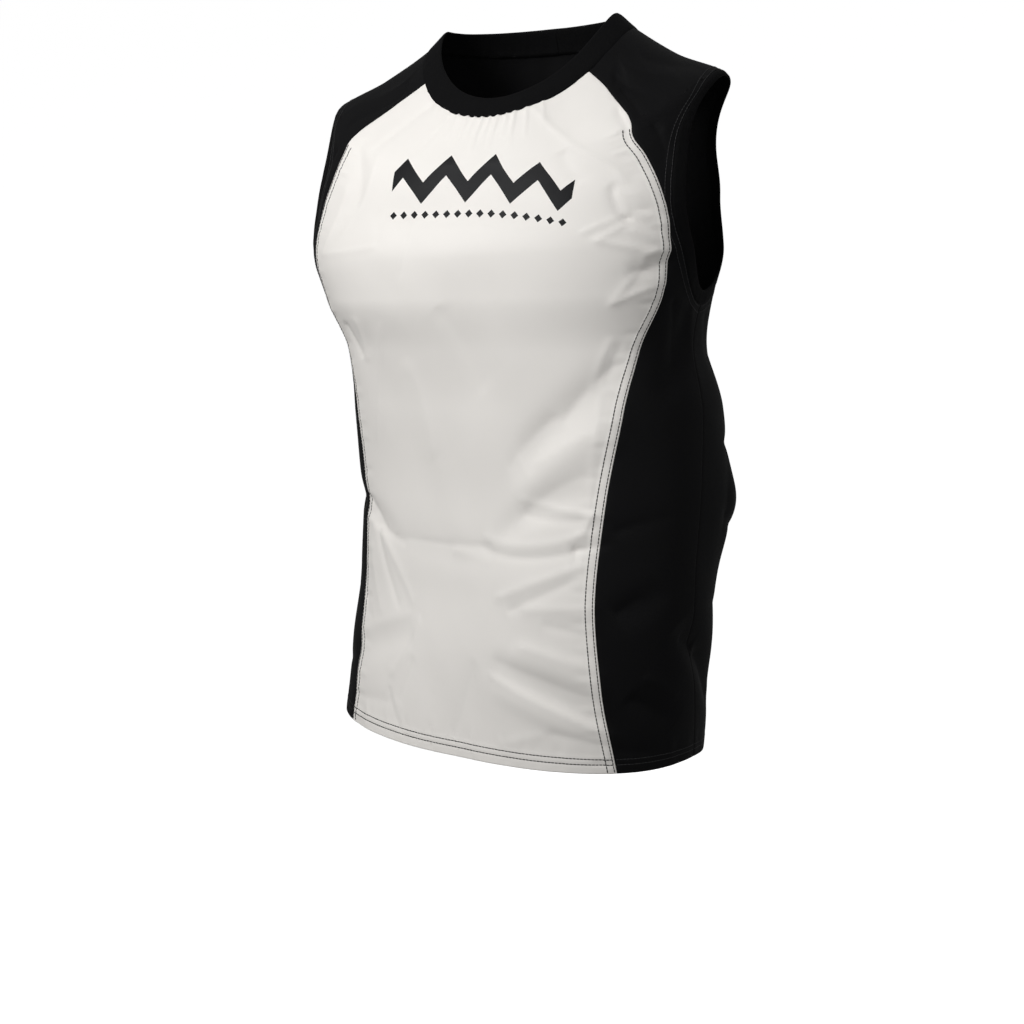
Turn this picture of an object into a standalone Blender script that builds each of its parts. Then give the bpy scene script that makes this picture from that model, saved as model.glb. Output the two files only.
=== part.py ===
"""A sleeveless windproof sports vest in its worn, hollow form.

The wearer faces -Y, their left is +X and +Z is up. The origin lies between the two points
where the shoulder seams meet the edge of the neck, at their height.

The cloth is one smooth surface round a general figure: rings stacked from the hem to the neck,
lifted by a few long folds. Every point of it has an angle round the body (0 at the centre front,
90 at the wearer's left side, 180 at the centre back) and a level up the body. The panels are
patches of that surface between seam lines, each thickened into a thin wall.
"""
import math
from collections import namedtuple

import bmesh
import bpy
import numpy as np

MM = 0.001

# Driving sizes, in millimetres.
CLOTH_THICKNESS = 1.2
BAND_THICKNESS = 1.6
SEAM_GAP = 0.3
ARMHOLE_BAND_WIDTH = 11.0
WELD_DISTANCE = 0.01

# Levels where the cut changes, in millimetres below the shoulder point at the neck.
HEM_LEVEL = -648.0
UNDERARM_LEVEL = -242.0
SHOULDER_TIP_LEVEL = -61.0
NECK_SEAM_LEVEL = -15.0
NECK_EDGE_LEVEL = 0.0

# One row for each ring of the surface, from the hem up. The ring's half width and its depths in
# front and behind are measured from its own centre, which is shifted from the origin. A ring
# dips or rises between its side and its front and back. Squareness 2 is an ellipse and more is
# boxier. Rounding is how softly the ring crosses the shoulder. Turn twists the ring about the
# upright and tilt lifts its left side, both in degrees: the wearer stands with a relaxed twist.
Ring = namedtuple("Ring", "level half_width front back shift_x shift_y "
                          "z_front z_side z_back squareness rounding turn tilt")
RINGS = [
    Ring(-648, 174, 114, 118, 1, 0, -648, -641, -652, 2.3, 0.3, -5, -3),
    Ring(-572, 179, 112, 116, 4, 2, -572, -572, -572, 2.3, 0.3, -11, -2.5),
    Ring(-500, 181, 106, 108, 7, 4, -500, -500, -500, 2.3, 0.3, -15, -1),
    Ring(-422, 180, 104, 119, 7, 6, -422, -422, -422, 2.3, 0.3, -13, 0),
    Ring(-342, 174, 108, 114, 6, 4, -342, -342, -342, 2.4, 0.3, -8, 0),
    Ring(-292, 168, 114, 115, 0, 2, -292, -292, -292, 2.4, 0.3, -5, 0.5),
    Ring(-242, 180, 122, 114, -6, 0, -248, -242, -246, 2.5, 0.3, -3, 1),
    Ring(-197, 192, 124, 114, -7, 0, -214, -197, -207, 2.5, 0.3, -2, 1.5),
    Ring(-142, 195, 119, 112, -4, 2, -180, -142, -162, 2.4, 0.3, -2, 1.5),
    Ring(-97, 192, 115, 104, -2, 4, -154, -97, -127, 2.3, 0.3, -1, 1.5),
    Ring(-61, 187, 110, 94, 0, 5, -135, -61, -92, 2.2, 0.3, -1, 1.5),
    Ring(-38, 142, 100, 78, 2, 5, -114, -40, -55, 2.1, 0.3, -1, 1.5),
    Ring(-15, 98, 91, 66, 4, 5, -93, -14, -16, 2.0, 0.3, 0, 2),
    Ring(0, 82, 79, 57, 4, 5, -76, 0, 4, 2.0, 0.3, 0, 2),
]

# Where the white front panel's two side seams lie, by level, as angles round the body.
FrontSeam = namedtuple("FrontSeam", "level right left")
FRONT_SEAMS = [
    FrontSeam(-648, -60, 60),
    FrontSeam(-572, -57, 58.5),
    FrontSeam(-500, -60, 59),
    FrontSeam(-422, -62, 60),
    FrontSeam(-342, -64, 61),
    FrontSeam(-292, -66, 65.5),
    FrontSeam(-242, -67, 70),
    FrontSeam(-197, -66.5, 69),
    FrontSeam(-142, -64.5, 65.5),
    FrontSeam(-97, -63, 61),
    FrontSeam(-64, -62, 58),
    FrontSeam(-48, -63, 59),
    FrontSeam(-32, -61, 58),
    FrontSeam(-15, -56, 53.5),
]

# Half the front-to-back size of an armhole at its seam, in degrees round the body, how much
# wider it is at the bottom than at the top, and how square its bottom and top are.
ARMHOLE_FRONT_REACH = 21.5
ARMHOLE_BACK_REACH = 26.0
ARMHOLE_EGG = -0.06
ARMHOLE_SQUARE_BOTTOM = 1.75
ARMHOLE_SQUARE_TOP = 3.4
DEGREES_PER_MM_AT_ARMHOLE = 0.31
LEVELS_PER_MM_ON_SHOULDER = 0.45
SIDE_SEAM = 90.0

# The largest folds: from one place to another on the surface, bowed sideways by some
# millimetres, with a half width and a depth. A ridge has a positive depth, a trough a negative.
# A fold keeps a share of its depth at its two ends.
Fold = namedtuple("Fold", "angle level to_angle to_level bow width depth")
FOLDS = [
    # front panel
    Fold(61, -308, 30, -388, -4, 17, -4),
    Fold(61, -356, 28, -420, -4, 14, 2.2),
    Fold(60, -402, 20, -456, -4, 13, -2.6),
    Fold(-44, -462, 52, -460, -8, 14, -1.4),
    Fold(-78, -424, -40, -462, 4, 12, -3),
    Fold(28, -547, 62, -572, 3, 12, 2),
    Fold(20, -564, 62, -602, 2, 12, -2.8),
    Fold(20, -580, 62, -624, 2, 11, 2),
    Fold(-60, -582, -24, -546, 2, 14, -2.5),
    Fold(72, -216, 58, -226, -2, 10, -2),
    Fold(-57, -56, -50, -136, 7, 12, -2),
    # left side
    Fold(82, -522, 104, -596, 9, 15, -7),
    Fold(64, -515, 78, -488, 0, 12, -3),
    Fold(66, -576, 80, -606, 0, 14, -3),
    Fold(84, -262, 72, -330, 5, 13, -4),
    # right side
    Fold(-84, -268, -74, -322, -5, 13, -4),
    Fold(-96, -418, -76, -446, 0, 14, -5),
    Fold(-90, -530, -102, -600, -6, 15, -6),
    # back panel, full over the small of the back
    Fold(122, -300, 116, -512, -4, 40, 12),
    Fold(106, -422, 158, -440, 4, 30, 11),
    Fold(236, -300, 242, -508, 4, 40, 7),
    Fold(200, -434, 250, -418, 0, 30, 7),
    Fold(112, -486, 172, -490, 5, 22, -6),
    Fold(184, -494, 246, -482, 5, 24, -5),
    Fold(122, -186, 150, -336, 10, 22, -6),
    Fold(238, -196, 212, -322, -8, 20, -5),
    Fold(178, -120, 182, -318, 0, 26, -5),
    Fold(138, -524, 166, -628, -6, 20, -6),
    Fold(224, -534, 196, -622, 8, 18, -5),
]
FOLD_END_SHARE = 0.2
UNROLLED_RADIUS = 150.0

# How finely the walls are divided.
ROWS_BELOW_ARMHOLE = 26
ROWS_BESIDE_ARMHOLE = 14
ROWS_ON_SHOULDER = 4
FRONT_COLUMNS = 18
SIDE_COLUMNS = 6
BACK_COLUMNS = 22
BAND_ROWS = 2

COLLECTION = "windproof_vest"
# Each cloth: its base colour (linear), roughness and sheen.
CLOTHS = {
    "white_windproof": ((0.76, 0.73, 0.69, 1.0), 0.55, 0.15),
    "black_stretch": ((0.009, 0.009, 0.011, 1.0), 0.72, 0.30),
    "black_binding": ((0.007, 0.007, 0.008, 1.0), 0.80, 0.20),
}


def column_slopes(levels, columns):
    """Slopes that let a smooth curve pass every row of a table without overshooting."""
    steps = np.diff(levels)[:, None]
    chords = np.diff(columns, axis=0) / steps
    slopes = np.zeros_like(columns)
    slopes[0], slopes[-1] = chords[0], chords[-1]
    before, after = chords[:-1], chords[1:]
    same_way = before * after > 0
    total = np.where(same_way, before + after, 1.0)
    slopes[1:-1] = np.where(same_way, 2 * before * after / total, 0.0)
    return slopes


def smooth_table(rows):
    """A function from a level to every column of the table, on smooth curves through its rows."""
    table = np.array(rows, dtype=float)
    levels, columns = table[:, 0], table[:, 1:]
    slopes = column_slopes(levels, columns)

    def at_level(level):
        level = np.asarray(level, dtype=float)
        row = np.clip(np.searchsorted(levels, level) - 1, 0, len(levels) - 2)
        step = levels[row + 1] - levels[row]
        part = ((level - levels[row]) / step)[..., None]
        step = step[..., None]
        start = (1 + 2 * part) * (1 - part) ** 2 * columns[row]
        start_slope = part * (1 - part) ** 2 * step * slopes[row]
        end = part ** 2 * (3 - 2 * part) * columns[row + 1]
        end_slope = part ** 2 * (part - 1) * step * slopes[row + 1]
        values = start + start_slope + end + end_slope
        return np.moveaxis(values, -1, 0)

    return at_level


ring_at = smooth_table(RINGS)
front_seams_at = smooth_table(FRONT_SEAMS)


def smooth_surface(angle, level):
    """Points of the cloth before its folds, in millimetres."""
    angle, level = np.broadcast_arrays(angle, level)
    (half_width, front, back, shift_x, shift_y,
     z_front, z_side, z_back, squareness, rounding, turn, tilt) = ring_at(level)
    bearing = np.radians(angle)
    sideways, ahead = np.sin(bearing), np.cos(bearing)
    in_front = ahead > 0
    depth = np.where(in_front, front, back)
    spread = np.abs(sideways / half_width) ** squareness + np.abs(ahead / depth) ** squareness
    reach = spread ** (-1 / squareness)
    x, y = reach * sideways, -reach * ahead
    drop = np.sqrt((y / depth) ** 2 + rounding ** 2) - rounding
    drop = drop / (np.sqrt(1 + rounding ** 2) - rounding)
    z = z_side + (np.where(in_front, z_front, z_back) - z_side) * drop
    z = z + x * np.tan(np.radians(tilt))
    twist = np.radians(turn)
    return np.stack([shift_x + x * np.cos(twist) - y * np.sin(twist),
                     shift_y + x * np.sin(twist) + y * np.cos(twist), z], axis=-1)


def surface_normal(angle, level):
    """Unit vectors that point out of the cloth."""
    step_angle, step_level = 0.5, 1.0
    around = smooth_surface(angle + step_angle, level) - smooth_surface(angle - step_angle, level)
    up = smooth_surface(angle, level + step_level) - smooth_surface(angle, level - step_level)
    normal = np.cross(around, up)
    return normal / np.linalg.norm(normal, axis=-1, keepdims=True)


def fold_height(angle, level):
    """How far the folds lift the cloth, in millimetres, by distance on the unrolled surface."""
    height = np.zeros(np.broadcast(angle, level).shape)
    for fold in FOLDS:
        middle = (fold.angle + fold.to_angle) / 2
        near_angle = angle - 360 * np.round((angle - middle) / 360)
        across = np.radians(near_angle - fold.angle) * UNROLLED_RADIUS
        up = level - fold.level
        run = math.radians(fold.to_angle - fold.angle) * UNROLLED_RADIUS
        rise = fold.to_level - fold.level
        length = math.hypot(run, rise)
        along = np.clip((across * run + up * rise) / length ** 2, 0, 1)
        arch = 4 * along * (1 - along)
        off_across = across - along * run + fold.bow * arch * rise / length
        off_up = up - along * rise - fold.bow * arch * run / length
        distance = np.hypot(off_across, off_up)
        taper = np.hypot(np.sqrt(arch), FOLD_END_SHARE)
        height += fold.depth * taper * np.exp(-(distance / fold.width) ** 2)
    return height


def cloth(angle, level, lift=0.0):
    """Points of the cloth with its folds, moved out by lift."""
    angle, level = np.broadcast_arrays(np.asarray(angle, float), np.asarray(level, float))
    height = fold_height(angle, level) + lift
    return smooth_surface(angle, level) + surface_normal(angle, level) * height[..., None]


def signed_power(value, power):
    return np.sign(value) * np.abs(value) ** power


def armhole_line(turns, inset):
    """Angle and level along the left armhole, from its bottom (0) by the front to the top (0.5).

    The seam to the panels is at inset 0, and the finished edge at the width of the band.
    """
    theta = 2 * np.pi * np.asarray(turns, dtype=float)
    bottom = UNDERARM_LEVEL - ARMHOLE_BAND_WIDTH + inset
    top = SHOULDER_TIP_LEVEL + (ARMHOLE_BAND_WIDTH - inset) * LEVELS_PER_MM_ON_SHOULDER
    middle, half_height = (bottom + top) / 2, (top - bottom) / 2
    in_front = np.sin(theta) > 0
    reach = np.where(in_front, ARMHOLE_FRONT_REACH, ARMHOLE_BACK_REACH)
    reach = reach - inset * DEGREES_PER_MM_AT_ARMHOLE
    square = np.where(np.cos(theta) > 0, ARMHOLE_SQUARE_BOTTOM, ARMHOLE_SQUARE_TOP)
    across = signed_power(np.sin(theta), 2 / square) * (1 + ARMHOLE_EGG * np.cos(theta))
    up = signed_power(np.cos(theta), 2 / square)
    return SIDE_SEAM - reach * across, middle - half_height * up


def panel_rows():
    """The level of each row of a panel, and the angles of its front and back side edges.

    Below and above the armhole the two edges are one seam, at the wearer's left.
    """
    turns = np.linspace(0, 0.5, ROWS_BESIDE_ARMHOLE + 1)
    front_edge, beside = armhole_line(turns, -SEAM_GAP)
    back_edge = armhole_line(1 - turns, -SEAM_GAP)[0]
    below = np.linspace(HEM_LEVEL, beside[0], ROWS_BELOW_ARMHOLE + 1)[:-1]
    above = np.linspace(beside[-1], NECK_SEAM_LEVEL, ROWS_ON_SHOULDER + 1)[1:]
    level = np.concatenate([below, beside, above])
    seam_below = np.full(len(below), SIDE_SEAM)
    seam_above = np.full(len(above), SIDE_SEAM)
    return (level, np.concatenate([seam_below, front_edge, seam_above]),
            np.concatenate([seam_below, back_edge, seam_above]))


def pull_in(points, along_row, rows=slice(None)):
    """Moves a grid's outermost points in by half a seam gap, along its rows or its columns."""
    grid = points if along_row else points.swapaxes(0, 1)
    for edge, inner in ((0, 1), (-1, -2)):
        step = grid[rows, inner] - grid[rows, edge]
        grid[rows, edge] += step / np.linalg.norm(step, axis=-1, keepdims=True) * SEAM_GAP / 2


def patch(start_angle, end_angle, level, columns):
    """Points of a panel: each row runs between its two edges at one level."""
    share = np.linspace(0, 1, columns + 1)
    angle = start_angle[:, None] + (end_angle - start_angle)[:, None] * share
    points = cloth(angle, level[:, None])
    hem = points[0].copy()
    pull_in(points, along_row=False)
    points[0] = hem
    pull_in(points, along_row=True)
    return points


def make_material(name):
    colour, roughness, sheen = CLOTHS[name]
    material = bpy.data.materials.new(name)
    material.use_nodes = True
    shader = material.node_tree.nodes["Principled BSDF"]
    shader.inputs["Base Color"].default_value = colour
    shader.inputs["Roughness"].default_value = roughness
    shader.inputs["Metallic"].default_value = 0.0
    shader.inputs["Sheen Weight"].default_value = sheen
    return material


def make_wall(name, points, thickness, cloth_name, closed=False):
    """A wall of cloth: a grid laid on rows of points, thickened evenly to both sides."""
    rows, columns = points.shape[:2]
    sheet = bmesh.new()
    bmesh.ops.create_grid(sheet, x_segments=columns - 1, y_segments=rows - 1, size=1.0)
    for vert in sheet.verts:
        column = round((vert.co.x + 1) / 2 * (columns - 1))
        row = round((vert.co.y + 1) / 2 * (rows - 1))
        vert.co = points[row, column] * MM
    if closed:
        bmesh.ops.remove_doubles(sheet, verts=sheet.verts, dist=WELD_DISTANCE * MM)
    mesh = bpy.data.meshes.new(name)
    sheet.to_mesh(mesh)
    sheet.free()
    mesh.materials.append(make_material(cloth_name))
    mesh.shade_smooth()
    wall = bpy.data.objects.new(name, mesh)
    bpy.data.collections[COLLECTION].objects.link(wall)
    solidify = wall.modifiers.new("cloth thickness", "SOLIDIFY")
    solidify.thickness = thickness * MM
    solidify.offset = 0.0
    return wall


def make_front_panel():
    level = panel_rows()[0]
    right_seam, left_seam = front_seams_at(level)
    points = patch(right_seam, left_seam, level, FRONT_COLUMNS)
    return make_wall("front_panel", points, CLOTH_THICKNESS, "white_windproof")


def make_front_side(side):
    """The black piece from the shoulder past the armhole to the hem, on one side of the front."""
    level, front_edge, _ = panel_rows()
    right_seam, left_seam = front_seams_at(level)
    if side == "left":
        points = patch(left_seam, front_edge, level, SIDE_COLUMNS)
    else:
        points = patch(-front_edge, right_seam, level, SIDE_COLUMNS)
    return make_wall(f"front_side_{side}", points, CLOTH_THICKNESS, "black_stretch")


def make_back_panel():
    level, _, back_edge = panel_rows()
    points = patch(back_edge, 360 - back_edge, level, BACK_COLUMNS)
    return make_wall("back_panel", points, CLOTH_THICKNESS, "black_stretch")


def neck_angles():
    """Angles round the neck seam where the panels' top corners and columns meet it."""
    right_seam, left_seam = front_seams_at(NECK_SEAM_LEVEL)
    front = np.linspace(right_seam, left_seam, FRONT_COLUMNS + 1)
    left = np.linspace(left_seam, SIDE_SEAM, SIDE_COLUMNS + 1)
    back = np.linspace(SIDE_SEAM, 360 - SIDE_SEAM, BACK_COLUMNS + 1)
    right = np.linspace(360 - SIDE_SEAM, 360 + right_seam, SIDE_COLUMNS + 1)
    return np.concatenate([front, left[1:], back[1:], right[1:]])


def make_neck_band():
    level = np.linspace(NECK_SEAM_LEVEL, NECK_EDGE_LEVEL, BAND_ROWS + 1)
    points = cloth(neck_angles(), level[:, None])
    pull_in(points, along_row=False)
    return make_wall("neck_band", points, BAND_THICKNESS, "black_binding", closed=True)


def make_armhole_band(side):
    turns = np.linspace(0, 1, 2 * ROWS_BESIDE_ARMHOLE + 1)
    inset = np.linspace(0, ARMHOLE_BAND_WIDTH, BAND_ROWS + 1)
    angle, level = armhole_line(turns, inset[:, None])
    points = cloth(angle if side == "left" else -angle, level)
    return make_wall(f"armhole_band_{side}", points, BAND_THICKNESS, "black_binding", closed=True)


def main():
    for old in list(bpy.data.objects):
        bpy.data.objects.remove(old)
    bpy.context.scene.collection.children.link(bpy.data.collections.new(COLLECTION))
    pieces = [make_front_panel(), make_back_panel(), make_neck_band()]
    for side in ("left", "right"):
        pieces.append(make_front_side(side))
        pieces.append(make_armhole_band(side))
    vest = bpy.data.objects.new("vest", None)
    bpy.data.collections[COLLECTION].objects.link(vest)
    for piece in pieces:
        piece.parent = vest


if __name__ == "__main__":
    main()
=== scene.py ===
# %% [markdown]
# A sleeveless windproof vest: one light woven front between black stretch shoulders, sides and
# back, with folded bindings round the neck and the armholes. It keeps the hollow form it has when
# it is worn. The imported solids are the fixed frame, and every piece of cloth made here lies on
# the same surface as its solid, with the finer folds, seams and stitches that the solid leaves
# out.

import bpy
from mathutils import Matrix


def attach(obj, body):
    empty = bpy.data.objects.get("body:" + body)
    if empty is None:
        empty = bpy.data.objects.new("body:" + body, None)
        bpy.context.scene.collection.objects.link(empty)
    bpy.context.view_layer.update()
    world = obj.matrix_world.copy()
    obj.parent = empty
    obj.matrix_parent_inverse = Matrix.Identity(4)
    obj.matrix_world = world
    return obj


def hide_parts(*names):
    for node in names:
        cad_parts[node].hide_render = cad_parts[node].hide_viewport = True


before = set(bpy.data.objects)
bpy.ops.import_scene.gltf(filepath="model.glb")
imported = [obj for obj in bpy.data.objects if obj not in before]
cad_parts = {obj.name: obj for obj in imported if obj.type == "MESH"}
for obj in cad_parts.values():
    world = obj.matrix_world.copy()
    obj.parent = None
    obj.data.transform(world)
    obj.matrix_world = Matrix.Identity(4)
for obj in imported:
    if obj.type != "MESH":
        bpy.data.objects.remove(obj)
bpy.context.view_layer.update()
print("nodes in the frame:", len(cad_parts))

# %% Tools used below
import math
from collections import namedtuple
from functools import partial

import bpy
import numpy as np
from mathutils import Matrix, Vector
from mathutils.bvhtree import BVHTree

MM = 0.001

# %% [markdown]
# Step 1: the surface. Cloth on a body can be modelled by pulling a grid about by eye, or by
# writing down the garment's girths and levels and letting the grid follow them. The second way
# keeps every panel, binding and stitch on one shared surface, so nothing floats or cuts through.
# A point of the surface has an angle round the body (0 at the centre front, 90 at the wearer's
# left) and a level, in millimetres below the neck point.

# %% Girths from hem to neck
# Each row: level, half width, depth in front and behind, shift in x and in y, height in front,
# at the side and behind, squareness, rounding from side to front, turn and tilt in degrees.
RINGS = [
    (-648, 174, 114, 118, 1, 0, -648, -641, -652, 2.3, 0.3, -5, -3),
    (-572, 179, 112, 116, 4, 2, -572, -572, -572, 2.3, 0.3, -11, -2.5),
    (-500, 181, 106, 108, 7, 4, -500, -500, -500, 2.3, 0.3, -15, -1),
    (-422, 180, 104, 119, 7, 6, -422, -422, -422, 2.3, 0.3, -13, 0),
    (-342, 174, 108, 114, 6, 4, -342, -342, -342, 2.4, 0.3, -8, 0),
    (-292, 168, 114, 115, 0, 2, -292, -292, -292, 2.4, 0.3, -5, 0.5),
    (-242, 180, 122, 114, -6, 0, -248, -242, -246, 2.5, 0.3, -3, 1),
    (-197, 192, 124, 114, -7, 0, -214, -197, -207, 2.5, 0.3, -2, 1.5),
    (-142, 195, 119, 112, -4, 2, -180, -142, -162, 2.4, 0.3, -2, 1.5),
    (-97, 192, 115, 104, -2, 4, -154, -97, -127, 2.3, 0.3, -1, 1.5),
    (-61, 187, 110, 94, 0, 5, -135, -61, -92, 2.2, 0.3, -1, 1.5),
    (-38, 142, 100, 78, 2, 5, -114, -40, -55, 2.1, 0.3, -1, 1.5),
    (-15, 98, 91, 66, 4, 5, -93, -14, -16, 2.0, 0.3, 0, 2),
    (0, 82, 79, 57, 4, 5, -76, 0, 4, 2.0, 0.3, 0, 2),
]
HEM_LEVEL = -648.0
UNDERARM_LEVEL = -242.0
SHOULDER_TIP_LEVEL = -61.0
NECK_SEAM_LEVEL = -15.0
NECK_EDGE_LEVEL = 0.0
SIDE_SEAM = 90.0

# %% Where the white front's two side seams run: level, then the right and the left angle
FRONT_SEAMS = [
    (-648, -60, 60),
    (-572, -57, 58.5),
    (-500, -60, 59),
    (-422, -62, 60),
    (-342, -64, 61),
    (-292, -66, 65.5),
    (-242, -67, 70),
    (-197, -66.5, 69),
    (-142, -64.5, 65.5),
    (-97, -63, 61),
    (-64, -62, 58),
    (-48, -63, 59),
    (-32, -61, 58),
    (-15, -56, 53.5),
]


# %% Smooth curves through the rows of a table
def column_slopes(levels, columns):
    chords = np.diff(columns, axis=0) / np.diff(levels)[:, None]
    slopes = np.zeros_like(columns)
    slopes[0], slopes[-1] = chords[0], chords[-1]
    before, after = chords[:-1], chords[1:]
    same_way = before * after > 0
    total = np.where(same_way, before + after, 1.0)
    slopes[1:-1] = np.where(same_way, 2 * before * after / total, 0.0)
    return slopes


def smooth_table(rows):
    numbers = np.array(rows, dtype=float)
    levels, columns = numbers[:, 0], numbers[:, 1:]
    slopes = column_slopes(levels, columns)

    def at_level(level):
        level = np.asarray(level, dtype=float)
        row = np.clip(np.searchsorted(levels, level) - 1, 0, len(levels) - 2)
        step = levels[row + 1] - levels[row]
        part = ((level - levels[row]) / step)[..., None]
        step = step[..., None]
        below = (1 + 2 * part) * columns[row] + part * step * slopes[row]
        above = (3 - 2 * part) * columns[row + 1] + (part - 1) * step * slopes[row + 1]
        return np.moveaxis((1 - part) ** 2 * below + part ** 2 * above, -1, 0)

    return at_level


ring_at = smooth_table(RINGS)
front_seams_at = smooth_table(FRONT_SEAMS)
print("half width at the chest:", round(float(ring_at(-197.0)[0])), "mm")


# %% The surface and the direction that points out of it
def smooth_surface(angle, level):
    angle, level = np.broadcast_arrays(angle, level)
    (half_width, front, back, shift_x, shift_y,
     z_front, z_side, z_back, squareness, rounding, turn, tilt) = ring_at(level)
    bearing = np.radians(angle)
    sideways, ahead = np.sin(bearing), np.cos(bearing)
    in_front = ahead > 0
    depth = np.where(in_front, front, back)
    spread = np.abs(sideways / half_width) ** squareness + np.abs(ahead / depth) ** squareness
    reach = spread ** (-1 / squareness)
    x, y = reach * sideways, -reach * ahead
    drop = np.sqrt((y / depth) ** 2 + rounding ** 2) - rounding
    drop = drop / (np.sqrt(1 + rounding ** 2) - rounding)
    z = z_side + (np.where(in_front, z_front, z_back) - z_side) * drop
    z = z + x * np.tan(np.radians(tilt))
    twist = np.radians(turn)
    return np.stack([shift_x + x * np.cos(twist) - y * np.sin(twist),
                     shift_y + x * np.sin(twist) + y * np.cos(twist), z], axis=-1)


def unit(vectors):
    return vectors / np.linalg.norm(vectors, axis=-1, keepdims=True)


def step_round(angle, level):
    """How the surface moves in one degree."""
    return smooth_surface(angle + 0.5, level) - smooth_surface(angle - 0.5, level)


def surface_normal(angle, level):
    up = smooth_surface(angle, level + 1) - smooth_surface(angle, level - 1)
    return unit(np.cross(step_round(angle, level), up))


# %% [markdown]
# Step 2: the folds. A worn vest hangs in a few long soft folds from the armpits and over the
# waist, with short crisp creases where the stiff woven front is pulled. Simulation would drape
# them at random, so each one is listed: from one place to another, with a bow, a width
# and a depth at both of its ends. Positive depths are ridges and negative ones are troughs.

# %% The long folds that the solids have too
def table(kind, rows):
    return [kind(*row) for row in rows]


Fold = namedtuple("Fold", "angle level to_angle to_level bow width depth")
LONG_FOLDS = table(Fold, [
    (61, -308, 30, -388, -4, 17, -4),
    (61, -356, 28, -420, -4, 14, 2.2),
    (60, -402, 20, -456, -4, 13, -2.6),
    (-44, -462, 52, -460, -8, 14, -1.4),
    (-78, -424, -40, -462, 4, 12, -3),
    (28, -547, 62, -572, 3, 12, 2),
    (20, -564, 62, -602, 2, 12, -2.8),
    (20, -580, 62, -624, 2, 11, 2),
    (-60, -582, -24, -546, 2, 14, -2.5),
    (72, -216, 58, -226, -2, 10, -2),
    (-57, -56, -50, -136, 7, 12, -2),
    (82, -522, 104, -596, 9, 15, -7),
    (64, -515, 78, -488, 0, 12, -3),
    (66, -576, 80, -606, 0, 14, -3),
    (84, -262, 72, -330, 5, 13, -4),
    (-84, -268, -74, -322, -5, 13, -4),
    (-96, -418, -76, -446, 0, 14, -5),
    (-90, -530, -102, -600, -6, 15, -6),
    (122, -300, 116, -512, -4, 40, 12),
    (106, -422, 158, -440, 4, 30, 11),
    (236, -300, 242, -508, 4, 40, 7),
    (200, -434, 250, -418, 0, 30, 7),
    (112, -486, 172, -490, 5, 22, -6),
    (184, -494, 246, -482, 5, 24, -5),
    (122, -186, 150, -336, 10, 22, -6),
    (238, -196, 212, -322, -8, 20, -5),
    (178, -120, 182, -318, 0, 26, -5),
    (138, -524, 166, -628, -6, 20, -6),
    (224, -534, 196, -622, 8, 18, -5),
])
FOLD_END_SHARE = 0.2
UNROLLED_RADIUS = 150.0

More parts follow.
